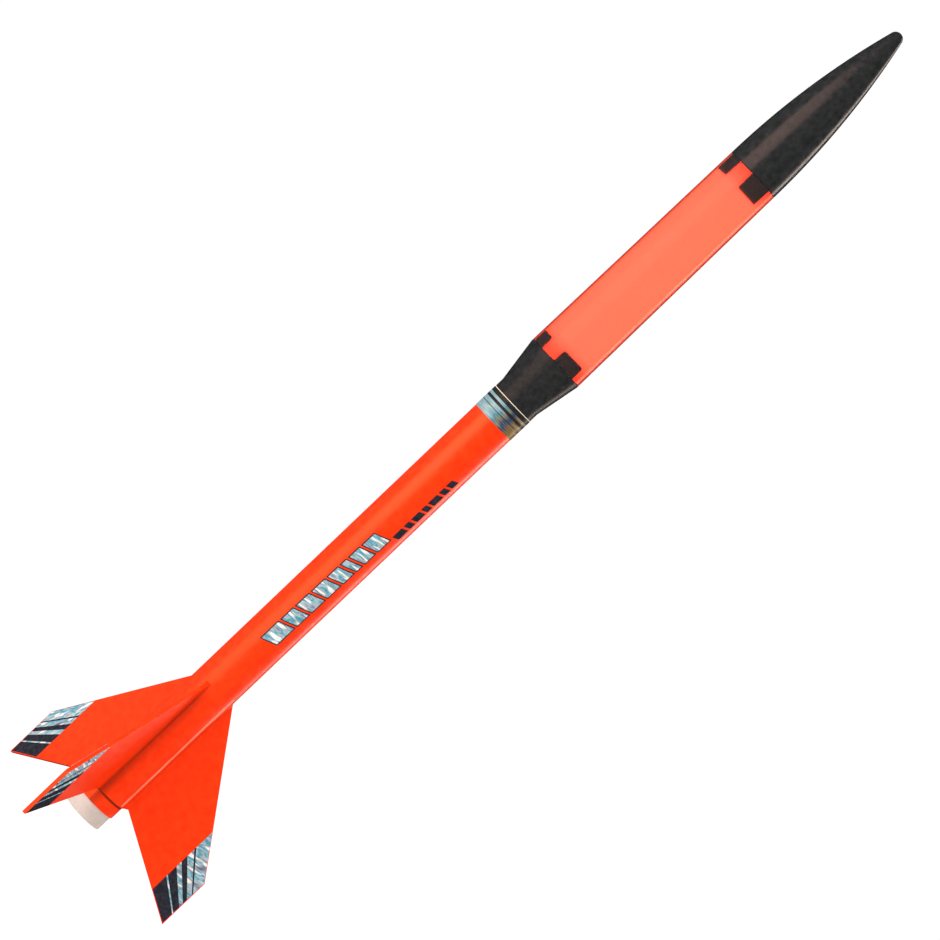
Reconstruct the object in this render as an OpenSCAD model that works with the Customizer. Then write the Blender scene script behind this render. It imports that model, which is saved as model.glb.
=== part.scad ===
// Slim payload rocket: a body tube with three swept fins, a flared plastic transition, a
// translucent payload tube and an ogive nose. It stands on its fin tips.
// The origin is on the centre line, level with the fin tips. +Z points to the nose.

/* [Body tube] */
// Outside diameter of the paper body tube
body_d = 19.5; // [19.3:0.1:20]
// Length of the body tube
body_len = 221.4; // [215:0.1:230]
// Wall of the body tube
body_wall = 0.4; // [0.3:0.05:0.4]
// Width of the foil band round the top of the body tube
band_width = 10.7; // [6:0.1:14]

/* [Fins] */
// Distance from the tube's surface to a fin's tip
fin_span = 45.2; // [40:0.05:50]
// Length of a fin where it joins the tube
fin_root_len = 58.1; // [50:0.1:62]
// Length of a fin's outer edge
fin_tip_len = 23.3; // [18:0.1:28]
// How far the outer edge hangs below the root, at the rear
fin_drop = 23.9; // [20:0.1:26]
// Distance from the tube's rear edge up to a fin's root
fin_root_gap = 1.8; // [1:0.1:4]
// Thickness of a fin
fin_thick = 1.6; // [1.2:0.1:2]
// Radius of the glue fillets beside the two rear fins' roots
fillet_r = 1.9; // [1.2:0.1:2.4]
// Radius of the glue fillets beside the front fin's root
front_fillet_r = 0.9; // [0.6:0.1:2.4]
// Width of the foil on a fin's outer end
fin_foil_width = 13.2; // [8:0.1:16]

/* [Engine] */
// Outside diameter of the engine's paper casing
engine_d = 17.5; // [17.3:0.05:17.5]
// Length of the engine
engine_len = 70; // [69:0.5:71]
// How far the engine stands out behind its mount tube
engine_out = 6.95; // [4:0.05:8]
// How far the mount tube stands out behind the body tube
mount_out = 6; // [4:0.1:8]
// Length of the engine mount tube
mount_len = 72; // [71:0.5:74]

/* [Payload section] */
// Outside diameter of the payload tube at its lower end
payload_d_low = 25.7; // [25:0.1:26.5]
// Outside diameter of the payload tube at its upper end
payload_d_top = 24.3; // [24:0.1:24.6]
// Length of the payload tube
payload_len = 106.4; // [95:0.1:115]
// Wall of the payload tube
payload_wall = 0.8; // [0.7:0.05:0.9]
// Length of the transition's flared part
flare_len = 18.7; // [16:0.1:24]
// Length of the shoulder that plugs into the body tube
shoulder_len = 18; // [14:0.1:20]
// Angle that one locating tab covers
tab_angle = 54; // [40:1:60]
// Height of the transition's locating tabs
low_tab_len = 6; // [4:0.1:8]

/* [Nose] */
// Length that the ogive would have if it ran to a sharp point
ogive_len = 88.3; // [84:0.1:92]
// Radius of the rounded nose tip
nose_tip_r = 2.9; // [1.8:0.1:3.4]
// Height of the nose's locating tabs
nose_tab_len = 8.2; // [5:0.1:9]
// Wall of the moulded plastic parts
shell_wall = 1.2; // [1:0.1:1.4]

/* [Launch lug] */
// Bore of the launch lug, for a rod of 3.2 mm
lug_bore_d = 3.9; // [3.7:0.1:4.1]
// Wall of the launch lug
lug_wall = 0.3; // [0.25:0.05:0.4]
// Length of the launch lug
lug_len = 50; // [40:1:60]
// Height of the lug's lower end above the fin tips
lug_z = 92; // [86:1:110]

/* [Hidden] */
$fn = 96;

// Colours
orange_red = [0.99, 0.27, 0.12];
clear_orange = [1, 0.45, 0.3, 0.7];
black_plastic = [0.1, 0.1, 0.1];
foil_blue = [0.6, 0.76, 0.82];
foil_black = [0.08, 0.08, 0.09];
kraft_white = [0.87, 0.83, 0.78];
clay_grey = [0.62, 0.58, 0.54];
cord_white = [0.92, 0.91, 0.87];

// Gaps: between glued parts, of a sliding fit, and between faces that only rest together
glue_gap = 0.05;
slide_gap = 0.1;
rest_gap = 0.1;
foil_thick = 0.1;
cut = 1; // overrun of a cutting solid

// Body tube
body_r = body_d / 2;
bore_r = body_r - body_wall;
body_z = fin_drop - fin_root_gap;
body_top = body_z + body_len;

// Fins
fin_angles = [-90, 30, 150];
fin_tip_r = body_r + fin_span;
fin_root_te = fin_drop;
fin_root_le = fin_drop + fin_root_len;
foil_inset = 0.4;

// Engine and its mount
mount_z = body_z - mount_out;
mount_r = bore_r - glue_gap;
engine_r = engine_d / 2;
mount_bore_r = engine_r + slide_gap;
engine_z = mount_z - engine_out;
engine_top = engine_z + engine_len;
ring_len = 6.35;
ring_bore_r = 6.5;
casing_bore_r = 6.35;
charge_r = casing_bore_r - glue_gap;
nozzle_len = 13;
throat_r = 1.3;
exit_r = 3.2;
grain_z = engine_z + nozzle_len;
grain_len = 30;
grain_port_r = 1.6;
grain_port_len = 6;
delay_len = 13;
ejection_len = 5;
cap_len = 2.5;

// Recovery gear, from the thrust ring upwards
mount_top = mount_z + mount_len;
wadding_z = mount_top + 2;
wadding_len = 18;
chute_z = wadding_z + wadding_len + 1;
chute_len = 42;
chute_r = 8.1;
line_band_z = chute_z + 15;
line_band_len = 12;
line_band_wall = 0.9;
pad_z = body_top - 44;
pad_len = 17;
pad_thick = 0.9;
pad_angle = 70;

// Transition
lip_z = body_top + rest_gap;
lip_len = 3.6;
flare_z = lip_z + lip_len;
rim_z = flare_z + flare_len;
rim_len = 0.8;
rim_top = rim_z + rim_len;
shoulder_r = bore_r - slide_gap;
shoulder_z = lip_z - shoulder_len;
shelf_len = 1.6;
low_r = payload_d_low / 2;
top_r = payload_d_top / 2;
base_len = 2;
loop_r = 3.2;
loop_wire_r = 0.8;
loop_z = shoulder_z - 1.6;
low_tab_turn = -51;
nose_tab_turn = -49;

// Nose
payload_top = rim_top + payload_len;
nose_z = payload_top + rest_gap;
ogive_r = (top_r * top_r + ogive_len * ogive_len) / (2 * top_r);
ogive_offset = ogive_r - top_r;
tip_centre = sqrt(pow(ogive_r - nose_tip_r, 2) - ogive_offset * ogive_offset);
nose_core_len = 62; // the nose is solid above this height

// Launch lug: its axis clears the payload section by a rod's radius
lug_r = lug_bore_d / 2 + lug_wall;
lug_y = 15.2;
lug_fit = lug_y - lug_r;
standoff_thick = 2;
standoff_inset = 3;

// Trim on the body tube's front
stripe_turn = -60;
stripe_z = 108;
stripe_len = 64.5;
stripe_angle = 62;
bar_turn = -30;
bar_z = 173;
bar_len = 34;
bar_angle = 24;

// Shock cord: hand-placed points from the glued pad, in six runs, to the transition's loop
cord_r = 0.8;
cord_sides = 8;
cord_points = [
    [-8.3, 0, 201.9], [-7.4, 0, 207.9], [-5, 0.5, 209.9], [-5, 0.5, 201.9], [-6, 0.6, 181.9],
    [-6, 0.6, 159.9], [-5.4, 2.3, 155.4], [-3.6, 4.2, 155.4], [-3, 5, 159.9], [-3, 5, 181.9],
    [-3, 5, 198.9], [-1.8, 5.9, 203.4], [1.4, 5.9, 203.4], [3, 5, 198.9], [3, 5, 181.9], [3, 5, 159.9],
    [4, 3.8, 155.4], [5.6, 1.6, 155.4], [6, 0.6, 159.9], [6, 0.6, 181.9], [6, 0, 198.9],
    [5.8, -1.8, 203.4], [4.2, -4, 203.4], [3, -5, 198.9], [3, -5, 181.9], [3, -5, 159.9],
    [1.8, -5.9, 155.4], [-1.4, -5.9, 155.4], [-3, -5, 159.9], [-3, -5, 181.9], [-2.6, -4.8, 201.9],
    [-1.4, -4.2, 214.9], [-0.4, -3.6, 219.4], [0, -1.6, 222.5], [0, 0.8, 222.7], [0, 3.2, 221.3]
];

// A ring of height h between two radii
module ring(outer_r, inner_r, h) {
    difference() {
        cylinder(h = h, r = outer_r);
        translate([0, 0, -cut]) cylinder(h = h + 2 * cut, r = inner_r);
    }
}

// A pie slice, centred on the +X direction, that keeps one angle of a ring
module slice(angle, r, h) {
    half = angle / 2;
    linear_extrude(height = h)
        polygon([[0, 0], [r * cos(half), -r * sin(half)], [r, 0], [r * cos(half), r * sin(half)]]);
}

// Part of a ring, centred on the +X direction
module ring_part(outer_r, inner_r, h, angle) {
    intersection() {
        ring(outer_r, inner_r, h);
        slice(angle, 2 * outer_r, h);
    }
}

// Four locating tabs with square gaps between them
module tabs(outer_r, h, turn) {
    for (k = [0:3])
        rotate([0, 0, turn + 90 * k]) ring_part(outer_r, outer_r - 1.4, h, tab_angle);
}

// Height of a fin's rear and front edges at a given radius
function fin_te(r) = fin_root_te * (1 - (r - body_r) / fin_span);
function fin_le(r) = fin_root_le - (fin_root_le - fin_tip_len) * (r - body_r) / fin_span;

// A flat plate in a fin's plane, from a profile of [radius, height] points
module fin_plate(profile, thickness) {
    rotate([90, 0, 0]) linear_extrude(height = thickness, center = true) polygon(profile);
}

module fin(k) {
    inner = body_r - 0.5;
    outline = [
        [inner, fin_root_te], [body_r, fin_root_te], [fin_tip_r, 0],
        [fin_tip_r, fin_tip_len], [body_r, fin_root_le], [inner, fin_root_le]
    ];
    color(orange_red) rotate([0, 0, fin_angles[k]]) difference() {
        fin_plate(outline, fin_thick);
        cylinder(h = fin_root_le + cut, r = body_r);
    }
}

module fin_foils(k) {
    inner = fin_tip_r - fin_foil_width;
    outer = fin_tip_r - foil_inset;
    outline = [
        [inner, fin_te(inner) + foil_inset], [outer, fin_te(outer) + foil_inset],
        [outer, fin_le(outer) - foil_inset], [inner, fin_le(inner) - foil_inset]
    ];
    color(foil_blue) rotate([0, 0, fin_angles[k]]) {
        for (side = [-1, 1])
            translate([0, side * (fin_thick + foil_thick) / 2, 0]) fin_plate(outline, foil_thick);
    }
}

// The concave section of one glue fillet, between the tube and a fin's face
module fillet_section(r) {
    face = fin_thick / 2;
    sink = 0.03; // keeps the fillet's edges from running out to nothing
    centre_y = face + r - sink;
    centre_x = sqrt(pow(body_r + r - sink, 2) - centre_y * centre_y);
    share = body_r / (body_r + r);
    difference() {
        polygon([[body_r - 0.5, face], [centre_x, face], [centre_x * share, centre_y * share]]);
        circle(r = body_r, $fn = 400);
        translate([centre_x, centre_y]) circle(r = r, $fn = 400);
    }
}

module fin_fillets() {
    reach = body_r + fillet_r + 1;
    inner = body_r - 1;
    outline = [
        [inner, body_z], [body_r, body_z], [body_r + fillet_r, fin_te(body_r + fillet_r)],
        [reach, fin_te(reach)], [reach, fin_le(reach)], [inner, fin_le(inner)]
    ];
    color(orange_red) for (k = [0:2], side = [0, 1])
        rotate([0, 0, fin_angles[k]]) mirror([0, side, 0]) intersection() {
            linear_extrude(height = fin_root_le + fin_drop)
                fillet_section(k == 0 ? front_fillet_r : fillet_r);
            fin_plate(outline, 4 * fillet_r);
        }
}

module body_tube() {
    color(orange_red) translate([0, 0, body_z]) ring(body_r, bore_r, body_len);
}

module engine_mount_tube() {
    color(orange_red) translate([0, 0, mount_z]) ring(mount_r, mount_bore_r, mount_len);
}

module thrust_ring() {
    color(kraft_white) translate([0, 0, engine_top + rest_gap])
        ring(mount_bore_r - glue_gap, ring_bore_r, ring_len);
}

// Foil wrapped on the body tube
module body_foil(z, h, angle) {
    translate([0, 0, z]) ring_part(body_r + foil_thick, body_r, h, angle);
}

module band_foil() {
    color(foil_blue) translate([0, 0, body_top - band_width])
        ring(body_r + foil_thick, body_r, band_width);
}

module stripe_foil() {
    color(foil_blue) rotate([0, 0, stripe_turn]) body_foil(stripe_z, stripe_len, stripe_angle);
}

module bar_foil() {
    color(foil_black) rotate([0, 0, bar_turn]) body_foil(bar_z, bar_len, bar_angle);
}

module launch_lug() {
    color(orange_red) translate([0, lug_y, lug_z]) ring(lug_r, lug_bore_d / 2, lug_len);
}

// A narrow strip that holds the launch lug away from the body tube
module lug_standoff() {
    color(orange_red) difference() {
        translate([-standoff_thick / 2, body_r - 0.5, lug_z + standoff_inset])
            cube([standoff_thick, lug_fit - body_r + 1, lug_len - 2 * standoff_inset]);
        cylinder(h = body_top, r = body_r);
        translate([0, lug_y, 0]) cylinder(h = body_top, r = lug_r);
    }
}

// A folded paper pad that glues the shock cord to the tube's inside
module cord_mount() {
    color(kraft_white) rotate([0, 0, 180]) translate([0, 0, pad_z])
        ring_part(bore_r - glue_gap, bore_r - pad_thick, pad_len, pad_angle);
}

module recovery_wadding() {
    color(cord_white) translate([0, 0, wadding_z]) cylinder(h = wadding_len, r = chute_r);
}

module parachute() {
    color(orange_red) translate([0, 0, chute_z]) cylinder(h = chute_len, r = chute_r);
}

module shroud_lines() {
    color(cord_white) translate([0, 0, line_band_z])
        ring(chute_r + line_band_wall, chute_r, line_band_len);
}

// Sweep of a round cord along its points. Each ring faces the mean of the runs that it joins.
function unit(v) = v / norm(v);
function heading(p, i) = unit(p[min(i + 1, len(p) - 1)] - p[max(i - 1, 0)]);
function midpoint(p, i) = (9 * (p[i] + p[i + 1]) - p[max(i - 1, 0)] - p[min(i + 2, len(p) - 1)]) / 16;
function refine(p) = [
    for (i = [0:len(p) - 2], half = [0, 1]) half == 0 ? p[i] : midpoint(p, i),
    p[len(p) - 1]
];
function carry(side, along) = unit(side - (side * along) * along);
function sides_of(p, i = 0, side = [0, 1, 0]) =
    i == len(p) ? [] : let (next = carry(side, heading(p, i))) concat([next], sides_of(p, i + 1, next));

module cord(points, r, sides) {
    path = refine(points);
    side = sides_of(path);
    rings = len(path);
    surface = [
        for (i = [0:rings - 1], k = [0:sides - 1])
            let (up = cross(heading(path, i), side[i]), a = 360 * k / sides)
            path[i] + r * (cos(a) * side[i] + sin(a) * up)
    ];
    walls = [
        for (i = [0:rings - 2], k = [0:sides - 1])
            let (a = i * sides + k, b = i * sides + (k + 1) % sides)
            [a, a + sides, b + sides, b]
    ];
    first = [for (k = [0:sides - 1]) k];
    last = [for (k = [sides - 1:-1:0]) (rings - 1) * sides + k];
    polyhedron(points = surface, faces = concat(walls, [first, last]), convexity = 10);
}

module shock_cord() {
    color(cord_white) cord(cord_points, cord_r, cord_sides);
}

module transition() {
    inner_low = shoulder_r - shell_wall;
    inner_rim = low_r - shell_wall;
    shelf_r = low_r - payload_wall - 1.4;
    color(black_plastic) {
        rotate_extrude() polygon([
            [inner_low, shoulder_z + base_len], [inner_low, shoulder_z], [shoulder_r, shoulder_z],
            [shoulder_r, lip_z], [body_r, lip_z], [body_r, flare_z],
            [low_r, rim_z], [low_r, rim_top], [shelf_r, rim_top], [shelf_r, rim_top - shelf_len],
            [inner_rim, rim_z - shelf_len], [body_r - shell_wall, flare_z], [inner_low, lip_z]
        ]);
        translate([0, 0, rim_top - glue_gap])
            tabs(low_r - payload_wall - slide_gap, low_tab_len + glue_gap, low_tab_turn);
    }
}

// The plug that closes the shoulder, with the loop that the shock cord is tied to
module transition_base() {
    base_r = shoulder_r - shell_wall - glue_gap;
    color(black_plastic) {
        translate([0, 0, shoulder_z]) cylinder(h = base_len, r = base_r);
        difference() {
            translate([0, 0, loop_z]) rotate([90, 0, 0]) rotate_extrude()
                translate([loop_r, 0]) circle(r = loop_wire_r, $fn = 32);
            translate([-base_r, -base_r, shoulder_z + base_len / 2]) cube(2 * base_r);
        }
    }
}

module payload_tube() {
    color(clear_orange) rotate_extrude() polygon([
        [low_r - payload_wall, rim_top + glue_gap], [low_r, rim_top + glue_gap],
        [top_r, payload_top], [top_r - payload_wall, payload_top]
    ]);
}

// Radius of the ogive at a height above its base
function ogive_at(h, inset = 0) =
    sqrt(pow(ogive_r - inset, 2) - h * h) - ogive_offset;

module nose_cone() {
    shelf_r = top_r - payload_wall - 1.4;
    steps = 24;
    tip_start = tip_centre * ogive_r / (ogive_r - nose_tip_r);
    tip_steps = 8;
    tip_angle = asin(tip_centre / (ogive_r - nose_tip_r));
    outer = [for (i = [0:steps]) let (h = tip_start * i / steps) [ogive_at(h), h]];
    tip = [
        for (i = [1:tip_steps]) let (a = tip_angle + (90 - tip_angle) * i / tip_steps)
            [i == tip_steps ? 0 : nose_tip_r * cos(a), tip_centre + nose_tip_r * sin(a)]
    ];
    inner = [
        for (i = [0:steps]) let (h = shelf_len + (nose_core_len - shelf_len) * (1 - i / steps))
            [ogive_at(h, shell_wall), h]
    ];
    color(black_plastic) translate([0, 0, nose_z]) {
        rotate_extrude() polygon(concat(
            outer, tip, [[0, nose_core_len]], inner, [[shelf_r, shelf_len], [shelf_r, 0]]
        ));
        translate([0, 0, -nose_tab_len])
            tabs(top_r - payload_wall - slide_gap, nose_tab_len + glue_gap, nose_tab_turn);
    }
}

module engine_casing() {
    color(kraft_white) translate([0, 0, engine_z]) ring(engine_r, casing_bore_r, engine_len);
}

// Clay plug with a throat that opens towards the rear
module engine_nozzle() {
    recess = 1;
    color(clay_grey) translate([0, 0, engine_z]) rotate_extrude() polygon([
        [exit_r, recess], [charge_r, recess], [charge_r, nozzle_len],
        [throat_r + 1.5, nozzle_len], [throat_r, nozzle_len - 3], [throat_r, nozzle_len - 6]
    ]);
}

module propellant_grain() {
    color(foil_black) translate([0, 0, grain_z + glue_gap]) difference() {
        cylinder(h = grain_len - glue_gap, r = charge_r);
        translate([0, 0, -cut]) cylinder(h = grain_port_len + cut, r = grain_port_r);
    }
}

// A solid charge in the casing, at a height above the grain's lower end
module charge(z, h) {
    translate([0, 0, grain_z + z + glue_gap]) cylinder(h = h - glue_gap, r = charge_r);
}

module delay_charge() {
    color(clay_grey) charge(grain_len, delay_len);
}

module ejection_charge() {
    color(foil_black) charge(grain_len + delay_len, ejection_len);
}

module engine_end_cap() {
    color(clay_grey) charge(grain_len + delay_len + ejection_len, cap_len);
}

body_tube();
engine_mount_tube();
thrust_ring();
fin(0);  // fin_1
fin(1);  // fin_2
fin(2);  // fin_3
fin_fillets();
fin_foils(0);  // fin_1_foils
fin_foils(1);  // fin_2_foils
fin_foils(2);  // fin_3_foils
band_foil();
stripe_foil();
bar_foil();
launch_lug();
lug_standoff();
cord_mount();
shock_cord();
recovery_wadding();
parachute();
shroud_lines();
transition();
transition_base();
payload_tube();
nose_cone();
engine_casing();
engine_nozzle();
propellant_grain();
delay_charge();
ejection_charge();
engine_end_cap();
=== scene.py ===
import math

import bmesh
import bpy
from mathutils import Matrix, Vector, noise


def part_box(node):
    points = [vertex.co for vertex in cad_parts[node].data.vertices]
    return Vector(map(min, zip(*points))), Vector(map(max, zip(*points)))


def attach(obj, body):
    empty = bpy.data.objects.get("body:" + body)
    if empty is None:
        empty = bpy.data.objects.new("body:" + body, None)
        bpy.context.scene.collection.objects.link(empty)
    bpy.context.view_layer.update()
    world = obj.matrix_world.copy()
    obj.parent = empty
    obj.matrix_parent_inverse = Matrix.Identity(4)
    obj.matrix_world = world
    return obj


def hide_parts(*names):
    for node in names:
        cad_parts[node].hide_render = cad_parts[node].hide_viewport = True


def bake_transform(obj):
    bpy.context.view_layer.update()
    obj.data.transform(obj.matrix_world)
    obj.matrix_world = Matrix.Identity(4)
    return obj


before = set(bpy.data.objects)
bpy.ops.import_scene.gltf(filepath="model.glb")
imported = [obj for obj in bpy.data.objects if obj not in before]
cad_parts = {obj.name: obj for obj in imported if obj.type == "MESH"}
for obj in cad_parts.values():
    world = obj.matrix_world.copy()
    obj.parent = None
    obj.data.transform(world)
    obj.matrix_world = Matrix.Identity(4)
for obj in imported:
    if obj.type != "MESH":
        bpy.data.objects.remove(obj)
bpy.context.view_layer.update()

MM = 0.001
TURNS = 144  # sides of a round piece


def round_node(node):
    """Outer radius, lower end and upper end of a round CAD node on the centre line."""
    low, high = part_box(node)
    return (high.x - low.x) / 2, low.z, high.z


# Airframe
BODY_R, BODY_Z, BODY_TOP = round_node("body_tube")
CARD = 0.4 * MM
BORE_R = BODY_R - CARD
MOUNT_R, MOUNT_Z, MOUNT_TOP = round_node("engine_mount_tube")
CASING_R, CASING_Z, CASING_TOP = round_node("engine_casing")
MOUNT_BORE_R = CASING_R + 0.1 * MM
THRUST_R, THRUST_Z, THRUST_TOP = round_node("thrust_ring")
THRUST_BORE_R = 6.5 * MM
BAND_R, BAND_Z, BAND_TOP = round_node("band_foil")
FILM = BAND_R - BODY_R
SUNK = 0.02 * MM  # how far film reaches into the tube's surface

# Fins: in each fin's plane a point is (radius, height)
FIN_ANGLES = (-90, 30, 150)
FIN_TIP_R = -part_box("fin_1")[0].y
FIN_SPAN = FIN_TIP_R - BODY_R
FIN_ROOT_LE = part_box("fin_1")[1].z
FIN_ROOT_TE = 23.9 * MM
FIN_TIP_LEN = 23.3 * MM
FIN_THICK = 1.6 * MM
FILLET_R = 1.9 * MM
FRONT_FILLET_R = 0.9 * MM
FOIL_WIDTH = 13.2 * MM
FOIL_INSET = 0.4 * MM

# Payload section and nose
RIM_R, TUBE_Z, TUBE_TOP = round_node("payload_tube")
NOSE_R, NOSE_TAB_Z, _ = round_node("nose_cone")
TUBE_WALL = 0.8 * MM
SHELL = 1.2 * MM
TAB_THICK = 1.4 * MM
TAB_GAP = 0.1 * MM
TAB_ROOT = 0.3 * MM
SHELF = 1.6 * MM
TAB_ANGLE = 54
LOW_TAB_TURN = -51
NOSE_TAB_TURN = -49
SHOULDER_R = BORE_R - 0.1 * MM
SHOULDER_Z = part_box("transition")[0].z
LIP_Z = BODY_TOP + 0.1 * MM
FLARE_Z = LIP_Z + 3.6 * MM
RIM_Z = FLARE_Z + 18.7 * MM
RIM_TOP = RIM_Z + 0.8 * MM
LOW_TAB_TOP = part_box("transition")[1].z
NOSE_Z = TUBE_TOP + 0.1 * MM
OGIVE_LEN = 88.3 * MM
NOSE_TIP_R = 2.9 * MM
NOSE_CORE_LEN = 62 * MM

# Engine
CASING_BORE_R = 6.35 * MM
CHARGE_R, GRAIN_Z, GRAIN_TOP = round_node("propellant_grain")

# Shock cord route in millimetres, the same points as the design's
CORD_R = 0.8 * MM
CORD_POINTS = [
    (-8.3, 0, 201.9), (-7.4, 0, 207.9), (-5, 0.5, 209.9), (-5, 0.5, 201.9), (-6, 0.6, 181.9),
    (-6, 0.6, 159.9), (-5.4, 2.3, 155.4), (-3.6, 4.2, 155.4), (-3, 5, 159.9), (-3, 5, 181.9),
    (-3, 5, 198.9), (-1.8, 5.9, 203.4), (1.4, 5.9, 203.4), (3, 5, 198.9), (3, 5, 181.9), (3, 5, 159.9),
    (4, 3.8, 155.4), (5.6, 1.6, 155.4), (6, 0.6, 159.9), (6, 0.6, 181.9), (6, 0, 198.9),
    (5.8, -1.8, 203.4), (4.2, -4, 203.4), (3, -5, 198.9), (3, -5, 181.9), (3, -5, 159.9),
    (1.8, -5.9, 155.4), (-1.4, -5.9, 155.4), (-3, -5, 159.9), (-3, -5, 181.9), (-2.6, -4.8, 201.9),
    (-1.4, -4.2, 214.9), (-0.4, -3.6, 219.4), (0, -1.6, 222.5), (0, 0.8, 222.7), (0, 3.2, 221.3),
]


# ---- camera, lights and stage

VIEW_TURN = 16.6
VIEW_ROLL = 46.4
VIEW_DISTANCE = 2.04
VIEW_HEIGHT = 0.2868
AIM_HEIGHT = 0.2132
AIM_SIDE = 0.0073
LENS = 199.1
LIGHT_AIM = 0.23  # height on the centre line that the soft boxes face
SURROUND_STRENGTH = 1.02
FLOOR_Z = -0.1  # the engine slides out below the fin tips
FLOOR_R = 9
FLOOR_GLOW = 0.22
GLOW_COUNT = 7
GLOW_POWER = 0.0103
GLOW_COLOUR = (1, 0.02, 0.02)
GLOW_END_COLOUR = (1, 0.09, 0.075)


def level(angle):
    """Level unit vector at an angle from +X."""
    return Vector((math.cos(math.radians(angle)), math.sin(math.radians(angle)), 0))


def make_camera():
    """The view from a little above the middle, rolled so that the nose points up and right."""
    to_camera = level(VIEW_TURN - 90)
    right = level(VIEW_TURN)
    aim = Vector((0, 0, AIM_HEIGHT)) + right * AIM_SIDE
    eye = aim + to_camera * VIEW_DISTANCE
    eye.z = VIEW_HEIGHT
    back = (eye - aim).normalized()
    upright = Matrix((right, back.cross(right), back)).transposed()
    data = bpy.data.cameras.new("camera")
    data.lens = LENS
    camera = bpy.data.objects.new("camera", data)
    bpy.context.scene.collection.objects.link(camera)
    turned = upright @ Matrix.Rotation(math.radians(VIEW_ROLL), 3, "Z")
    camera.matrix_world = Matrix.Translation(eye) @ turned.to_4x4()
    bpy.context.scene.camera = camera


def soft_box(name, angle, distance, height, size, power, colour, gloss):
    """A tall light that faces the centre line. It lights either reflections or surfaces."""
    data = bpy.data.lights.new(name, "AREA")
    data.shape = "RECTANGLE"
    data.size, data.size_y = size
    data.energy = power
    data.color = colour
    light = bpy.data.objects.new(name, data)
    bpy.context.scene.collection.objects.link(light)
    place = level(angle) * distance + Vector((0, 0, height))
    turned = (Vector((0, 0, LIGHT_AIM)) - place).to_track_quat("-Z", "Y")
    light.matrix_world = Matrix.Translation(place) @ turned.to_matrix().to_4x4()
    light.visible_camera = False
    light.visible_diffuse = not gloss
    light.visible_glossy = gloss
    light.visible_transmission = False


def make_lights():
    """An even white surround, a soft key, and two soft boxes that only show as reflections."""
    world = bpy.data.worlds.new("surround")
    world.use_nodes = True
    background = world.node_tree.nodes["Background"]
    background.inputs["Color"].default_value = (1, 1, 1, 1)
    background.inputs["Strength"].default_value = SURROUND_STRENGTH
    world.cycles_visibility.glossy = False
    bpy.context.scene.world = world
    soft_box("key", angle=-125, distance=1.6, height=0.7, size=(1.0, 1.4), power=12,
             colour=(1, 0.97, 0.93), gloss=False)
    soft_box("left_gloss", angle=-116, distance=1.2, height=0.4, size=(1.1, 0.9), power=50,
             colour=(1, 0.6, 0.5), gloss=True)
    soft_box("edge_gloss", angle=52.5, distance=1.5, height=0.8, size=(0.38, 1.95), power=40,
             colour=(1, 0.82, 0.74), gloss=True)


def make_tube_glow():
    """Small lights along the clear tube's middle, for the light that fluorescent plastic gathers.
    The two at the ends are a little paler."""
    for k in range(GLOW_COUNT):
        data = bpy.data.lights.new(f"tube_glow_{k}", "POINT")
        data.energy = GLOW_POWER
        data.color = GLOW_END_COLOUR if k in (0, GLOW_COUNT - 1) else GLOW_COLOUR
        data.shadow_soft_size = 3 * MM
        light = bpy.data.objects.new(data.name, data)
        bpy.context.scene.collection.objects.link(light)
        light.location.z = TUBE_Z + (TUBE_TOP - TUBE_Z) * (k + 0.5) / GLOW_COUNT
        light.visible_camera = False
        light.visible_glossy = False
        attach(light, "payload_section")


def make_stage():
    """A pale round floor, wide enough to run into the surround."""
    bm = bmesh.new()
    bmesh.ops.create_circle(bm, cap_ends=True, segments=96, radius=FLOOR_R)
    mesh = bpy.data.meshes.new("floor")
    bm.to_mesh(mesh)
    bm.free()
    floor = bpy.data.objects.new("floor", mesh)
    floor.location.z = FLOOR_Z
    floor.visible_glossy = False
    bpy.context.scene.collection.objects.link(floor)
    pale, _, shader = material("pale_floor", (0.85, 0.85, 0.85), 0.9)
    shader.inputs["Emission Color"].default_value = (1, 1, 1, 1)
    shader.inputs["Emission Strength"].default_value = FLOOR_GLOW
    mesh.materials.append(pale)


# ---- material helpers

def add(tree, kind, inputs=None, **settings):
    """Adds a shader node. Each input is a constant or another node's output."""
    made = tree.nodes.new("ShaderNode" + kind)
    for key, value in settings.items():
        setattr(made, key, value)
    for key, value in (inputs or {}).items():
        if isinstance(value, bpy.types.NodeSocket):
            tree.links.new(value, made.inputs[key])
        else:
            made.inputs[key].default_value = value
    return made


def material(name, colour, roughness, **sockets):
    """A new material: (material, tree, Principled shader)."""
    made = bpy.data.materials.new(name)
    made.use_nodes = True
    shader = made.node_tree.nodes["Principled BSDF"]
    shader.inputs["Base Color"].default_value = (*colour, 1)
    shader.inputs["Roughness"].default_value = roughness
    for key, value in sockets.items():
        shader.inputs[key.replace("_", " ")].default_value = value
    return made, made.node_tree, shader


def maths(tree, operation, a, b=0.0):
    """Result of a Math node."""
    return add(tree, "Math", {0: a, 1: b}, operation=operation).outputs[0]


def times(tree, a, b):
    """Product of two values."""
    return maths(tree, "MULTIPLY", a, b)


def plus(tree, a, b):
    """Sum of two values."""
    return maths(tree, "ADD", a, b)


def position(tree):
    """Place on the piece, in metres."""
    return add(tree, "TexCoord").outputs["Object"]


def axes(tree):
    """The place's three parts."""
    return add(tree, "SeparateXYZ", {"Vector": position(tree)}).outputs


def grain(tree, place, scale, detail=3.0, distortion=0.0):
    """Noise from 0 to 1, with features of about 1 / scale metres. Three scales stretch it by axis."""
    if isinstance(scale, tuple):
        place = add(tree, "Mapping", {"Vector": place, "Scale": scale}).outputs[0]
        scale = 1
    inputs = {"Vector": place, "Scale": scale, "Detail": detail, "Distortion": distortion}
    return add(tree, "TexNoise", inputs).outputs["Fac"]


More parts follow.
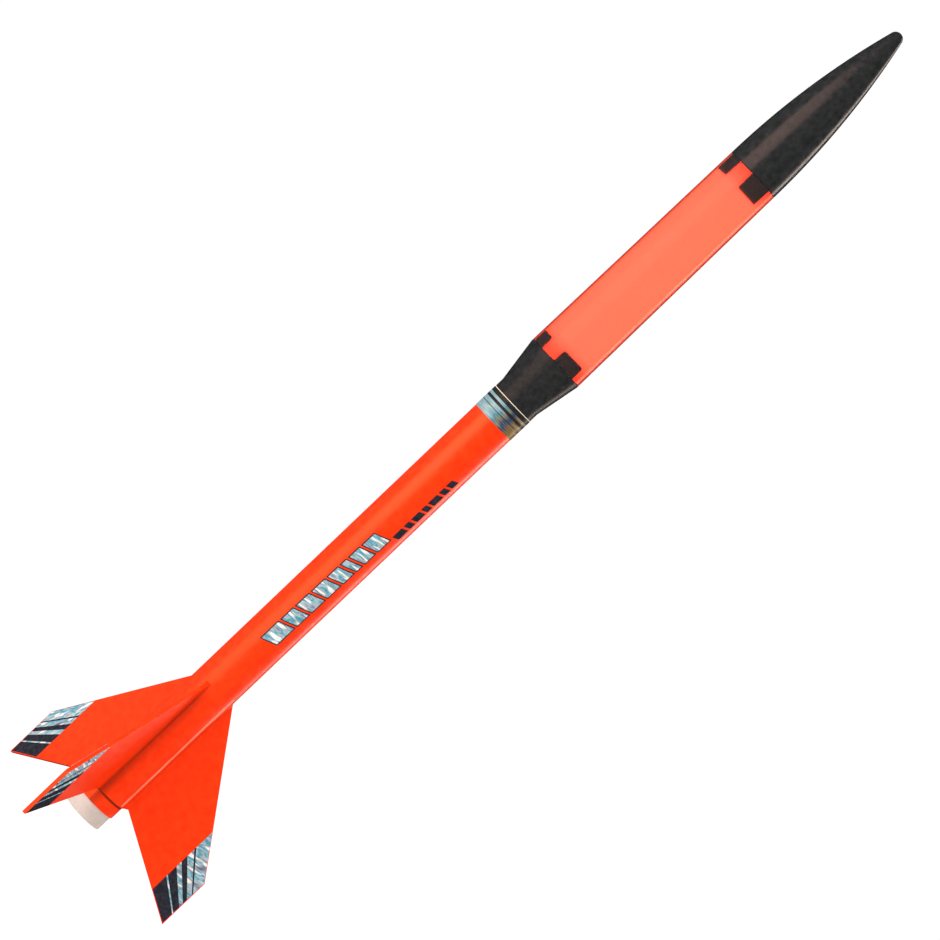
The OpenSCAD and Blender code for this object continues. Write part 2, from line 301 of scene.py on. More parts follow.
def ramp(tree, value, stops):
    """Colours that follow a value. Each stop is (position, (red, green, blue))."""
    made = add(tree, "ValToRGB", {"Fac": value})
    while len(made.color_ramp.elements) < len(stops):
        made.color_ramp.elements.new(0.5)
    for element, (at, colour) in zip(made.color_ramp.elements, stops):
        element.position = at
        element.color = (*colour, 1)
    return made.outputs["Color"]


def between(tree, value, low, high):
    """A value's share of the way from low to high, kept in 0 to 1."""
    made = add(tree, "MapRange", {"Value": value, "From Min": low, "From Max": high})
    return made.outputs["Result"]


# Sockets of a Mix node that mixes colours
MIX_SHARE, MIX_A, MIX_B, MIX_RESULT = 0, 6, 7, 2


def blended(tree, share, a, b, how="MIX"):
    """Mix of two colours."""
    a, b = (c if isinstance(c, bpy.types.NodeSocket) else (*c, 1) for c in (a, b))
    inputs = {MIX_SHARE: share, MIX_A: a, MIX_B: b}
    return add(tree, "Mix", inputs, data_type="RGBA", blend_type=how).outputs[MIX_RESULT]


def flat_length(tree, a, b):
    """Length of a flat vector."""
    return maths(tree, "SQRT", plus(tree, times(tree, a, a), times(tree, b, b)))


def roll_out(tree):
    """(distance across, height, radius). The distance across is the radius plus the arc length, so
    that it grows along a fin and round the tube alike."""
    x, y, z = axes(tree)
    radius = flat_length(tree, x, y)
    arc = times(tree, maths(tree, "ARCTAN2", y, x), BODY_R)
    return plus(tree, radius, arc), z, radius


def dress(tree, shader, colour, height, depth):
    """Gives a surface its colour, and fine relief that is depth metres deep."""
    bump = add(tree, "Bump", {"Height": height, "Distance": depth, "Strength": 1.0})
    tree.links.new(colour, shader.inputs["Base Color"])
    tree.links.new(bump.outputs[0], shader.inputs["Normal"])


# ---- materials

def winding_seam(tree):
    """The seam of the card's spiral winding: 0 in its middle, and 1 away from it."""
    per_metre_across, per_metre_up = 16.3, 24
    across, height, _ = roll_out(tree)
    turns = plus(tree, times(tree, across, per_metre_across), times(tree, height, per_metre_up))
    seam = maths(tree, "ABSOLUTE", maths(tree, "SUBTRACT", maths(tree, "FRACT", turns), 0.5))
    return between(tree, seam, 0.0, 0.012)


def paint(name, wood=False, shade=1.0):
    """Orange-red paint: a slight mottle, orange peel, the grain or the card's winding beneath, and
    painted shade by the front fin's root and above the engine mount tube.
    """
    made, tree, shader = material(name, (0.95, 0.036, 0.003), 0.3, Specular_IOR_Level=0.15,
                                  Specular_Tint=(1, 0.8, 0.4, 1))
    place = position(tree)
    mottle = grain(tree, place, 330, 5)
    deep = (0.94 * shade, 0.029 * shade, 0.001)
    bright = (0.96 * shade, 0.043 * shade, 0.004 * shade)
    # painted shade at the crease and the step darkens the paint's colour
    colour = painted_crease_shade(tree, ramp(tree, mottle, [(0.3, deep), (0.7, bright)]))
    tree.links.new(between(tree, mottle, -0.9, 2.9), shader.inputs["Roughness"])
    peel = grain(tree, place, 1500, 2)
    if wood:
        under = grain(tree, place, (900, 900, 60), 3, 0.6)
    else:
        under = winding_seam(tree)
    height = plus(tree, times(tree, peel, 0.35), times(tree, under, 0.6))
    dress(tree, shader, colour, height, 0.02 * MM)
    return made


def seam_highlight_paint():
    """Painted highlight on the raised strip: paint paler than the rest, varied by fine wrinkles."""
    made, tree, shader = material("seam_highlight_paint", (0.96, 0.15, 0.08), 0.4, Specular_IOR_Level=0.1)
    wrinkles = grain(tree, position(tree), (1600, 1600, 260), 3)
    colour = ramp(tree, wrinkles, [
        (0.3, (0.95, 0.13, 0.06)), (0.5, (0.97, 0.20, 0.11)), (0.68, (0.98, 0.27, 0.17)),
    ])
    dress(tree, shader, colour, wrinkles, 0.02 * MM)
    return made


def painted_crease_shade(tree, colour):
    """Painted shade: darkens paint beside the front fin's root as the fin's shadow, and paints a shadow
    line in the step above the engine mount tube.
    """
    x, y, z = axes(tree)
    _, _, radius = roll_out(tree)
    beside = maths(tree, "SUBTRACT", maths(tree, "ABSOLUTE", x), FIN_THICK / 2)
    out = maths(tree, "SUBTRACT", radius, BODY_R)
    away = flat_length(tree, beside, out)
    front = times(tree, maths(tree, "LESS_THAN", y, 0.0), maths(tree, "GREATER_THAN", x, 0.0))
    reach = times(tree, front, between(tree, z, FIN_ROOT_LE, FIN_ROOT_LE - 9 * MM))
    line = times(tree, between(tree, away, 1.0 * MM, 0.45 * MM), reach)
    haze = times(tree, between(tree, away, 3.6 * MM, 0.5 * MM), reach)
    # painted shade that grows deeper towards the tail
    low = times(tree, haze, between(tree, z, BODY_Z + 26 * MM, BODY_Z))
    step = between(tree, z, BODY_Z - 1.2 * MM, BODY_Z - 0.7 * MM)
    step = times(tree, step, maths(tree, "LESS_THAN", z, BODY_Z + 0.06 * MM))
    step = times(tree, step, maths(tree, "LESS_THAN", radius, BODY_R + 0.02 * MM))
    sharp = maths(tree, "MAXIMUM", times(tree, line, 0.62), times(tree, step, 0.85))
    soft = plus(tree, times(tree, haze, 0.28), times(tree, low, 0.3))
    dark = maths(tree, "MAXIMUM", sharp, soft)
    # the painted shade's dark red
    return blended(tree, dark, colour, (0.15, 0.010, 0.003))


# Colours round the band, from its left side past the front to the right and the back: painted
# reflection, the film's rainbow reflections from one side set by angle
BAND_COLOURS = [
    (0.0, (0.22, 0.35, 0.39)), (0.10, (0.31, 0.44, 0.43)), (0.20, (0.17, 0.34, 0.41)),
    (0.235, (0.05, 0.20, 0.25)), (0.29, (0.20, 0.18, 0.11)), (0.34, (0.03, 0.05, 0.11)),
    (0.37, (0.02, 0.04, 0.10)), (0.43, (0.21, 0.11, 0.02)), (0.48, (0.21, 0.11, 0.02)),
    (0.52, (0.38, 0.23, 0.04)), (0.57, (0.15, 0.09, 0.02)), (0.68, (0.17, 0.12, 0.05)),
    (0.80, (0.10, 0.24, 0.28)), (0.94, (0.22, 0.35, 0.39)),
]


def leaned(tree, lean):
    """A place on the surface, along and over a direction that climbs by lean for each step across."""
    across, height, _ = roll_out(tree)
    flat = add(tree, "CombineXYZ", {"X": across, "Y": height}).outputs[0]
    size = math.sqrt(1 + lean * lean)
    parts = []
    for axis in ((1 / size, lean / size, 0), (-lean / size, 1 / size, 0)):
        made = add(tree, "VectorMath", {0: flat, 1: axis}, operation="DOT_PRODUCT")
        parts.append(made.outputs["Value"])
    return add(tree, "CombineXYZ", {"X": parts[0], "Y": parts[1]}).outputs[0]


def foil(name, lean=0.17, band=False):
    """Holographic film: patches of silver, teal and blue, and pale streaks that lean across them."""
    patch_scale = (60, 520, 1) if band else (110, 330, 1)
    streak_scale = (80, 1300, 1) if band else (130, 640, 1)
    roughness = (-0.9, 1.4) if band else (-0.6, 2.2)
    made, tree, shader = material(name, (0.5, 0.65, 0.7), 0.28, Metallic=0.04, Specular_IOR_Level=0.06)
    place = leaned(tree, lean)
    patches = grain(tree, place, patch_scale, 2, 0.2)
    colour = ramp(tree, patches, [
        (0.28, (0.13, 0.11, 0.20)), (0.38, (0.22, 0.30, 0.36)), (0.44, (0.42, 0.52, 0.55)),
        (0.50, (0.06, 0.30, 0.40)), (0.55, (0.22, 0.46, 0.54)), (0.61, (0.48, 0.56, 0.57)),
        (0.72, (0.18, 0.22, 0.34)),
    ])
    streaks = grain(tree, place, streak_scale, 1.5, 0.1)
    tone = grain(tree, place, 300, 1)
    pale = ramp(tree, tone, [(0.42, (0.95, 0.96, 0.93)), (0.58, (0.94, 0.78, 0.66))])
    lines = grain(tree, place, (300, 2400, 1), 2)
    if band:
        # painted reflection: the colour follows the angle round the tube
        x, y, _ = axes(tree)
        turn = plus(tree, maths(tree, "ARCTAN2", y, x), times(tree, patches, 0.5))
        colour = blended(tree, 0.94, colour, ramp(tree, between(tree, turn, -2.0, 1.8), BAND_COLOURS))
        pale = blended(tree, 0.85, pale, colour)
    colour = blended(tree, between(tree, streaks, 0.56, 0.63), colour, pale)
    fine = ramp(tree, lines, [(0.35, (0.62, 0.66, 0.68)), (0.6, (1.0, 1.0, 1.0))])
    colour = blended(tree, 0.7, colour, fine, "MULTIPLY")
    tree.links.new(between(tree, lines, *roughness), shader.inputs["Roughness"])
    dress(tree, shader, colour, lines, 0.01 * MM)
    return made


def black_film():
    """Black print on the film, with a faint bluish variation."""
    made, tree, shader = material("black_film", (0.022, 0.022, 0.028), 0.16, Specular_IOR_Level=0.04)
    cloud = grain(tree, position(tree), 700, 4)
    colour = ramp(tree, cloud, [(0.35, (0.016, 0.017, 0.024)), (0.65, (0.034, 0.032, 0.042))])
    dress(tree, shader, colour, grain(tree, position(tree), 1800, 2), 0.01 * MM)
    return made


def black_plastic(name, dark, light, specular, roughest):
    """Moulded black plastic, satin, with a soft mottle and a fine moulded texture."""
    made, tree, shader = material(name, light, 0.3, Specular_IOR_Level=specular)
    place = position(tree)
    mottle = grain(tree, place, 420, 4)
    colour = ramp(tree, mottle, [(0.3, dark), (0.7, light)])
    tree.links.new(between(tree, mottle, -0.5, roughest), shader.inputs["Roughness"])
    flow = grain(tree, place, (500, 500, 90), 3)
    height = plus(tree, times(tree, grain(tree, place, 1600, 2), 0.4), flow)
    dress(tree, shader, colour, height, 0.03 * MM)
    return made


def bare_material(name):
    """A new material with no shader yet: (material, tree)."""
    made = bpy.data.materials.new(name)
    made.use_nodes = True
    made.node_tree.nodes.remove(made.node_tree.nodes["Principled BSDF"])
    return made, made.node_tree


def show(tree, shader):
    """Shows a shader on the surface."""
    tree.links.new(shader, tree.nodes["Material Output"].inputs["Surface"])


def mixed(tree, share, first, second):
    """Mix of two shaders."""
    return add(tree, "MixShader", {0: share, 1: first, 2: second}).outputs[0]


def clear_skin():
    """The tube's outer surface: it tints what is seen through it, with a faint haze and a gloss."""
    made, tree = bare_material("clear_orange")
    place = position(tree)
    smear = between(tree, grain(tree, place, (300, 300, 60), 3), -0.4, 4.0)
    aslant = add(tree, "LayerWeight", {"Blend": 0.5}).outputs["Facing"]
    depth = ramp(tree, aslant, [
        (0.32, (1, 0.42, 0.302)), (0.46, (0.98, 0.40, 0.28)), (0.6, (0.95, 0.32, 0.18)),
        (0.7, (0.87, 0.21, 0.11)), (0.85, (0.6, 0.09, 0.04)),
    ])
    tint = add(tree, "BsdfTransparent", {"Color": depth}).outputs[0]
    haze = add(tree, "BsdfDiffuse", {"Color": (0.9, 0.88, 0.85, 1)}).outputs[0]
    gloss = add(tree, "BsdfGlossy", {"Color": (1, 0.8, 0.66, 1), "Roughness": smear}).outputs[0]
    shine = maths(tree, "MINIMUM", add(tree, "Fresnel", {"IOR": 1.1}).outputs[0], 0.06)
    show(tree, mixed(tree, shine, mixed(tree, 0.024, tint, haze), gloss))
    return made


def milky_bore():
    """The tube's milky inner surface: it glows with the light inside, and is painted deeper towards both
    ends as painted shade around the tabs.
    """
    made, tree = bare_material("milky_orange")
    cloud = grain(tree, position(tree), 90, 2)
    colour = ramp(tree, cloud, [(0.3, (0.97, 0.93, 0.88)), (0.7, (0.98, 0.97, 0.92))])
    _, _, height = axes(tree)
    # painted shade: a deeper orange near both ends, around the black tabs
    deepest, fade = 2.5 * MM, 9 * MM
    lower = between(tree, height, TUBE_Z + deepest, TUBE_Z + fade)
    upper = between(tree, height, TUBE_TOP, TUBE_TOP - fade)
    colour = blended(tree, times(tree, lower, upper), (0.93, 0.55, 0.28), colour)
    show(tree, add(tree, "BsdfTranslucent", {"Color": colour}).outputs[0])
    return made


def paper(name, light, dark, winding):
    """Matt paper: fibres, and the wound layers that show at its ends."""
    made, tree, shader = material(name, light, 0.8)
    place = position(tree)
    fibres = grain(tree, place, (1400, 1400, 500), 4)
    cloud = grain(tree, place, 130, 3)
    colour = blended(tree, between(tree, fibres, 0.35, 0.7), dark, light)
    colour = blended(tree, between(tree, cloud, 0.3, 0.9), colour, light)
    _, _, radius = roll_out(tree)
    layers = maths(tree, "SINE", times(tree, radius, 2 * math.pi / winding))
    height = plus(tree, times(tree, layers, 0.5), fibres)
    dress(tree, shader, colour, height, 0.05 * MM)
    return made


def pressed(name, dark, light, scale):
    """Pressed powder or clay, with grains."""
    made, tree, shader = material(name, light, 0.85)
    place = position(tree)
    grains = add(tree, "TexVoronoi", {"Vector": place, "Scale": scale}).outputs["Distance"]
    colour = ramp(tree, grains, [(0.1, light), (0.7, dark)])
    dress(tree, shader, colour, grain(tree, place, scale / 2, 5), 0.12 * MM)
    return made


def braid():
    """Woven elastic: two crossing sets of threads, from the piece's own length and turn."""
    threads = 4  # in each set, for one length of the pattern
    made, tree, shader = material("elastic", (0.86, 0.85, 0.8), 0.75)
    along, turn, _ = add(tree, "SeparateXYZ", {"Vector": add(tree, "TexCoord").outputs["UV"]}).outputs
    sets = []
    for lean in (1, -1):
        phase = plus(tree, along, times(tree, turn, lean))
        sets.append(maths(tree, "SINE", times(tree, phase, 2 * math.pi * threads)))
    weave = times(tree, sets[0], sets[1])
    colour = ramp(tree, weave, [(0.0, (0.62, 0.6, 0.55)), (0.5, (0.9, 0.89, 0.85))])
    dress(tree, shader, colour, weave, 0.12 * MM)
    return made


def thread():
    """Twisted white thread."""
    made, tree, shader = material("lines", (0.9, 0.9, 0.86), 0.7)
    strands = grain(tree, position(tree), (900, 900, 3200), 3)
    colour = ramp(tree, strands, [(0.35, (0.66, 0.65, 0.6)), (0.65, (0.92, 0.92, 0.89))])
    dress(tree, shader, colour, strands, 0.06 * MM)
    return made


def film():
    """Thin orange and white plastic sheet with fold lines."""
    made, tree, shader = material("chute_film", (0.9, 0.2, 0.08), 0.35)
    place = position(tree)
    panels = grain(tree, place, (160, 160, 8), 1)
    colour = ramp(tree, panels, [(0.49, (0.92, 0.10, 0.02)), (0.51, (0.9, 0.88, 0.85))])
    dress(tree, shader, colour, grain(tree, place, 700, 4, 1.0), 0.08 * MM)
    return made


def tissue():
    """Soft crumpled tissue."""
    made, tree, shader = material("wadding", (0.88, 0.87, 0.82), 0.9, Sheen_Weight=0.2)
    place = position(tree)
    fibres = grain(tree, place, 1300, 5, 0.5)
    colour = ramp(tree, fibres, [(0.35, (0.74, 0.72, 0.66)), (0.65, (0.92, 0.91, 0.88))])
    dress(tree, shader, colour, grain(tree, place, 420, 5, 1.5), 0.25 * MM)
    return made


# ---- mesh helpers

def polar(radius, angle, height):
    """A point from its radius, its angle in degrees and its height."""
    turn = math.radians(angle)
    return Vector((radius * math.cos(turn), radius * math.sin(turn), height))


def lathe(bm, profile, marks=(), turns=TURNS):
    """Turns a closed outline of (radius, height) round Z. marks holds a material index for each side."""
    rings = []
    for radius, height in profile:
        if radius < 1e-7:
            rings.append([bm.verts.new((0, 0, height))] * turns)
        else:
            rings.append([bm.verts.new(polar(radius, 360 * k / turns, height)) for k in range(turns)])
    for i, ring in enumerate(rings):
        above = rings[(i + 1) % len(rings)]
        for k in range(turns):
            corners = [ring[k], ring[(k + 1) % turns], above[(k + 1) % turns], above[k]]
            corners = list(dict.fromkeys(corners))
            if len(corners) > 2:
                face = bm.faces.new(corners)
                face.material_index = marks[i] if i < len(marks) else 0


def tube_outline(outer, inner, low, high):
    """Outline of a plain tube's wall."""
    return [(outer, low), (outer, high), (inner, high), (inner, low)]


def bridge(bm, first, second, mark=0):
    """Side faces between two rings that have as many points each."""
    faces = []
    for k in range(len(first)):
        n = (k + 1) % len(first)
        faces.append(bm.faces.new([first[k], first[n], second[n], second[k]]))
        faces[-1].material_index = mark
    return faces


def cap(bm, rings, mark=0):
    """A face across each ring."""
    for ring in rings:
        bm.faces.new(ring).material_index = mark


def shell_strip(bm, columns, outer, inner, mark=0):
    """A curved plate between two radii. Each column is (angle, lower height, upper height)."""
    rows = []
    for angle, low, high in columns:
        corners = tube_outline(outer, inner, low, high)
        rows.append([bm.verts.new(polar(r, angle, z)) for r, z in corners])
    for a, b in zip(rows, rows[1:]):
        bridge(bm, a, b, mark)
    cap(bm, (rows[0], rows[-1]), mark)


def rounded_columns(middle, width, low, high, corner, radius, top=True):
    """Columns of a plate whose two upper (or lower) corners are rounded. Its width is along the arc."""
    steps = 10
    half = width / 2
    straight = half - corner
    rounded = [half - corner * (1 - math.cos(math.radians(a))) for a in range(0, 91, 15)]
    flat = [straight * (1 - 2 * k / steps) for k in range(1, steps)]
    columns = []
    for offset in rounded + flat + [-o for o in reversed(rounded)]:
        past = max(0.0, abs(offset) - straight)
        drop = corner - math.sqrt(max(0.0, corner * corner - past * past))
        angle = middle + math.degrees(offset / radius)
        columns.append((angle, low, high - drop) if top else (angle, low + drop, high))
    return columns


def plate(bm, outline, thick, side, angle, mark=0, rim=None):
    """A flat plate beside a fin's plane, by the distance side. rim is the mark of its edges."""
    turn = Matrix.Rotation(math.radians(angle), 3, "Z")
    layers = []
    for y in (side - thick / 2, side + thick / 2):
        layers.append([bm.verts.new(turn @ Vector((radius, y, z))) for radius, z in outline])
    cap(bm, layers, mark)
    bridge(bm, *layers, mark if rim is None else rim)


def sweep(bm, path, radius, sides=12, uv_pitch=None):
    """A round tube along a path, closed at both ends. uv_pitch is the length of its pattern."""
    side = Vector((0.31, 0.95, 0.07))  # to start with, any way that isn't along the path
    rings = []
    for i, point in enumerate(path):
        along = (path[min(i + 1, len(path) - 1)] - path[max(i - 1, 0)]).normalized()
        side = (side - along * side.dot(along)).normalized()
        up = along.cross(side)
        ring = []
        for k in range(sides):
            turn = 2 * math.pi * k / sides
            ring.append(bm.verts.new(point + radius * (side * math.cos(turn) + up * math.sin(turn))))
        rings.append(ring)
    uv = bm.loops.layers.uv.verify() if uv_pitch else None
    travelled = 0.0
    for i in range(len(path) - 1):
        step = (path[i + 1] - path[i]).length
        for k, face in enumerate(bridge(bm, rings[i], rings[i + 1])):
            if uv:
                spots = [(0, k), (0, k + 1), (step, k + 1), (step, k)]
                for loop, (ahead, turn) in zip(face.loops, spots):
                    loop[uv].uv = ((travelled + ahead) / uv_pitch, turn / sides)
        travelled += step
    cap(bm, (rings[0], rings[-1]))


def curve_through(points, per_span):
    """A smooth path through given points (Catmull-Rom)."""
    path = []
    last = len(points) - 1
    for i in range(last):
        before, a, b, after = (points[max(0, min(last, i + k))] for k in (-1, 0, 1, 2))
        for step in range(per_span):
            t = step / per_span
            near = a * 2 + (b - before) * t
            far = (before * 2 - a * 5 + b * 4 - after) * t ** 2
            path.append((near + far + (a * 3 - before - b * 3 + after) * t ** 3) / 2)
    return path + [points[last]]


def shells(bm):
    """The mesh's separate parts, each a list of faces."""
    seen = set()
    found = []
    for first in bm.faces:
        if first not in seen:
            shell = [first]
            seen.add(first)
            for face in shell:
                near = dict.fromkeys(f for e in face.edges for f in e.link_faces if f not in seen)
                seen.update(near)
                shell += near
            found.append(shell)
    return found


def face_outwards(bm):
    """Turns faces outwards, and checks each closed part by the volume that it holds."""
    bmesh.ops.recalc_face_normals(bm, faces=bm.faces)
    bm.normal_update()
    for shell in shells(bm):
        closed = all(edge.is_manifold for face in shell for edge in face.edges)
        start = shell[0].verts[0].co
        held = sum((f.calc_center_median() - start).dot(f.normal) * f.calc_area() for f in shell)
        if closed and held < 0:
            bmesh.ops.reverse_faces(bm, faces=shell)


def piece(name, bm, body, nodes, materials, bevel=0.0, crease=32):
    """Makes a finished piece that stands for its CAD nodes and rides on their body."""
    face_outwards(bm)
    mesh = bpy.data.meshes.new(name)
    bm.to_mesh(mesh)
    bm.free()
    mesh.shade_smooth()
    mesh.set_sharp_from_angle(angle=math.radians(crease))
    for surface in materials:
        mesh.materials.append(surface)
    made = bpy.data.objects.new(name, mesh)
    bpy.context.scene.collection.objects.link(made)
    if bevel:
        edge = made.modifiers.new("edges", "BEVEL")
        edge.width = bevel
        edge.segments = 2
        edge.limit_method = "ANGLE"
        edge.angle_limit = math.radians(40)
        edge.use_clamp_overlap = True
        edge.harden_normals = True
    if body:
        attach(made, body)
    if nodes:
        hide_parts(*nodes)
    return made


# ---- airframe

def build_tubes():
    """The card body tube, the engine mount tube that stands out at the tail, and the thrust ring."""
    bm = bmesh.new()
    lathe(bm, tube_outline(BODY_R, BORE_R, BODY_Z, BODY_TOP))
    piece("body_tube_skin", bm, "airframe", ["body_tube"], [PAINT], 0.12 * MM)
    bm = bmesh.new()
    lathe(bm, tube_outline(MOUNT_R, MOUNT_BORE_R, MOUNT_Z, MOUNT_TOP))
    piece("mount_tube_skin", bm, "airframe", ["engine_mount_tube"], [PAINT], 0.1 * MM)
    bm = bmesh.new()
    lathe(bm, tube_outline(THRUST_R, THRUST_BORE_R, THRUST_Z, THRUST_TOP))
    piece("thrust_ring_card", bm, "airframe", ["thrust_ring"], [KRAFT], 0.15 * MM)


def fin_te(radius):
    """Height of a fin's rear edge."""
    return FIN_ROOT_TE * (1 - (radius - BODY_R) / FIN_SPAN)


def fin_le(radius):
    """Height of a fin's front edge."""
    return FIN_ROOT_LE - (FIN_ROOT_LE - FIN_TIP_LEN) * (radius - BODY_R) / FIN_SPAN


def build_fin(k):
    """One fin, whose root is let into the tube's wall. The two side fins have edges painted darker as
    painted shade.
    """
    inner = BODY_R - CARD / 2
    outline = [(inner, FIN_ROOT_TE), (BODY_R, FIN_ROOT_TE), (FIN_TIP_R, 0), (FIN_TIP_R, FIN_TIP_LEN),
               (BODY_R, FIN_ROOT_LE), (inner, FIN_ROOT_LE)]
    bm = bmesh.new()
    plate(bm, outline, FIN_THICK, 0, FIN_ANGLES[k], rim=min(k, 1))
    name = f"fin_{k + 1}"
    piece(name + "_painted", bm, "airframe", [name], [FIN_PAINT, SHADED_EDGE_PAINT], 0.22 * MM)


# Stripes on a fin's outer end, from the rear edge: the share where each ends, and if it is black
FIN_STRIPES = [(0.23, 1), (0.255, 0), (0.40, 1), (0.485, 0), (0.585, 1), (0.70, 0), (0.735, 1), (1, 0)]


def build_fin_foils(k):
    """Striped film on both faces of a fin's outer end. The last fin's streaks run lengthways."""
    inner, outer = FIN_TIP_R - FOIL_WIDTH, FIN_TIP_R - FOIL_INSET

    def spot(radius, share):
        low, high = fin_te(radius) + FOIL_INSET, fin_le(radius) - FOIL_INSET
        return radius, low + (high - low) * share

    bm = bmesh.new()
    for side in (-1, 1):
        start = 0
        for end, mark in FIN_STRIPES:
            corners = [spot(inner, start), spot(outer, start), spot(outer, end), spot(inner, end)]
            plate(bm, corners, FILM, side * (FIN_THICK + FILM) / 2, FIN_ANGLES[k], mark)
            start = end
    name = f"fin_{k + 1}_foils"
    piece(name + "_film", bm, "airframe", [name], [LONG_FOIL if k == 2 else FOIL, BLACK_FILM])


def fillet_section(size):
    """Outline of one fillet in the plane (along the fin, beside the fin)."""
    face = FIN_THICK / 2
    centre = Vector((math.sqrt((BODY_R + size) ** 2 - (face + size) ** 2), face + size))
    start, end = math.degrees(math.atan2(-centre.y, -centre.x)), -90
    steps = 10
    section = [centre + size * level(start + (end - start) * k / steps).xy for k in range(steps + 1)]
    root = BODY_R - CARD / 2
    corners = ((section[-1].x, face / 2), (root, face / 2), (root, section[0].y))
    return section + [Vector(corner) for corner in corners]


SEAM_TURN = 39.0  # degrees from the second fin


def highlight_seam(bm, angle):
    """A thin raised strip on the tube beside the second fin, like a glue seam, that carries a painted
    highlight line.
    """
    half, swell, root = 0.9 * MM, 0.12 * MM, 0.15 * MM
    steps = 4
    section = []
    for k in range(steps + 1):
        share = 2 * k / steps - 1
        turn = angle + math.degrees(share * half / BODY_R)
        section.append((BODY_R + swell * (1 - share * share), turn))
    section.append((BODY_R - root, angle))
    heights = (BODY_Z + 0.6 * MM, FIN_ROOT_LE + 2 * MM)
    ends = [[bm.verts.new(polar(radius, turn, z)) for radius, turn in section] for z in heights]
    bridge(bm, *ends, 1)
    cap(bm, ends, 1)


def build_fillets():
    """A concave bead of glue along both sides of each fin's root."""
    rise = (fin_te(BODY_R + FILLET_R) - BODY_Z) / FILLET_R
    short = 0.1 * MM
    bm = bmesh.new()
    for angle, size in zip(FIN_ANGLES, (FRONT_FILLET_R, FILLET_R, FILLET_R)):
        turn = Matrix.Rotation(math.radians(angle), 3, "Z")
        for side in (-1, 1):
            ends = ([], [])
            for spot in fillet_section(size):
                low = BODY_Z + max(0, spot.x - BODY_R) * rise
                high = fin_le(max(spot.x, BODY_R)) - short
                for ring, height in zip(ends, (low, high)):
                    ring.append(bm.verts.new(turn @ Vector((spot.x, side * spot.y, height))))
            bridge(bm, *ends)
            cap(bm, ends)
    # a raised strip whose paler paint is a painted highlight
    highlight_seam(bm, FIN_ANGLES[1] - SEAM_TURN)
    piece("fin_fillets_bead", bm, "airframe", ["fin_fillets"],
          [PAINT, SEAM_HIGHLIGHT_PAINT], 0.05 * MM)


# Rings of the band, upwards: how far each reaches in mm, and whether it is foil, black or cream
BAND_RINGS = [(3.9, 0), (4.2, 1), (6.1, 0), (7.3, 1), (8.5, 0), (10.4, 1), (10.7, 2)]


def build_band():
    """Printed film band round the top of the body tube."""
    heights = [BAND_Z] + [BAND_Z + reach * MM for reach, _ in BAND_RINGS[:-1]] + [BAND_TOP]
    outline = [(BAND_R, z) for z in heights] + [(BODY_R - SUNK, BAND_TOP), (BODY_R - SUNK, BAND_Z)]
    bm = bmesh.new()
    lathe(bm, outline, [mark for _, mark in BAND_RINGS] + [0, 0, 0])
    piece("band_film", bm, "airframe", ["band_foil"], [BAND_FOIL, FLARE_PLASTIC, CREAM_RING])


def slanted_block(bm, turn, low, high, half_arc, slant, outer, mark):
    """A block on the tube's front whose ends slant. half_arc is along the tube's surface."""
    columns = []
    steps = 12
    for k in range(steps + 1):
        arc = half_arc * (2 * k / steps - 1)
        rise = slant * arc
        columns.append((turn + math.degrees(arc / BODY_R), low + rise, high + rise))
    shell_strip(bm, columns, outer, BODY_R - SUNK, mark)


TRIM_TURN = -64
TRIM_DRIFT = 0.115  # degrees per mm: the foil trim winds a little round the tube
TRIM_HALF, TRIM_SLANT = 3.1 * MM, 0.4
BAR_TURN = -30
BAR_HALF, BAR_SLANT = 1.65 * MM, 0.35
# Blocks of the foil trim, and bars: where each starts above the row's lower end, and its length, in mm
TRIM_BLOCKS = [
    (2.4, 9), (13.2, 6), (21, 6.6), (29.4, 6.6), (37.8, 5.2), (44.8, 2.6), (49.2, 5.2), (56.2, 6.2),
]
BAR_BLOCKS = [(0.9, 5), (7, 2.8), (10.9, 4.4), (16.4, 2.6), (20.1, 4.8), (26, 2.8), (29.9, 3.2)]


def build_trim():
    """A plain row of slanted foil blocks with black outlines, and a row of slim black bars above it."""
    border, border_r = 0.5 * MM, BODY_R + 0.05 * MM
    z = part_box("stripe_foil")[0].z
    bm = bmesh.new()
    for start, length in TRIM_BLOCKS:
        low, high = z + start * MM, z + (start + length) * MM
        turn = TRIM_TURN + TRIM_DRIFT * (start + length / 2)
        slanted_block(bm, turn, low - border, high + border, TRIM_HALF + border, TRIM_SLANT, border_r, 1)
        slanted_block(bm, turn, low, high, TRIM_HALF, TRIM_SLANT, BAND_R, 0)
    piece("trim_blocks", bm, "airframe", ["stripe_foil"], [FOIL, BLACK_FILM])
    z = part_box("bar_foil")[0].z
    bm = bmesh.new()
    for start, length in BAR_BLOCKS:
        low, high = z + start * MM, z + (start + length) * MM
        slanted_block(bm, BAR_TURN, low, high, BAR_HALF, BAR_SLANT, BAND_R, 0)
    piece("trim_bars", bm, "airframe", ["bar_foil"], [BLACK_FILM])


def build_lug():
    """The launch lug, a slim card tube, and the strip that it stands on."""
    wall = 0.3 * MM
    low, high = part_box("launch_lug")
    outer = (high.x - low.x) / 2
    axis = Vector((0, (low.y + high.y) / 2, 0))
    bm = bmesh.new()
    lathe(bm, tube_outline(outer, outer - wall, low.z, high.z), turns=48)
    bmesh.ops.translate(bm, vec=axis, verts=bm.verts)
    piece("launch_lug_tube", bm, "airframe", ["launch_lug"], [PAINT], 0.08 * MM)
    low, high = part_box("lug_standoff")
    root, top, slope = low.y - 0.2 * MM, high.y - 0.15 * MM, 0.6 * MM
    bm = bmesh.new()
    outline = [(root, low.z), (top, low.z + slope), (top, high.z - slope), (root, high.z)]
    plate(bm, outline, high.x - low.x, 0, 90)
    piece("lug_strip", bm, "airframe", ["lug_standoff"], [FIN_PAINT], 0.25 * MM)


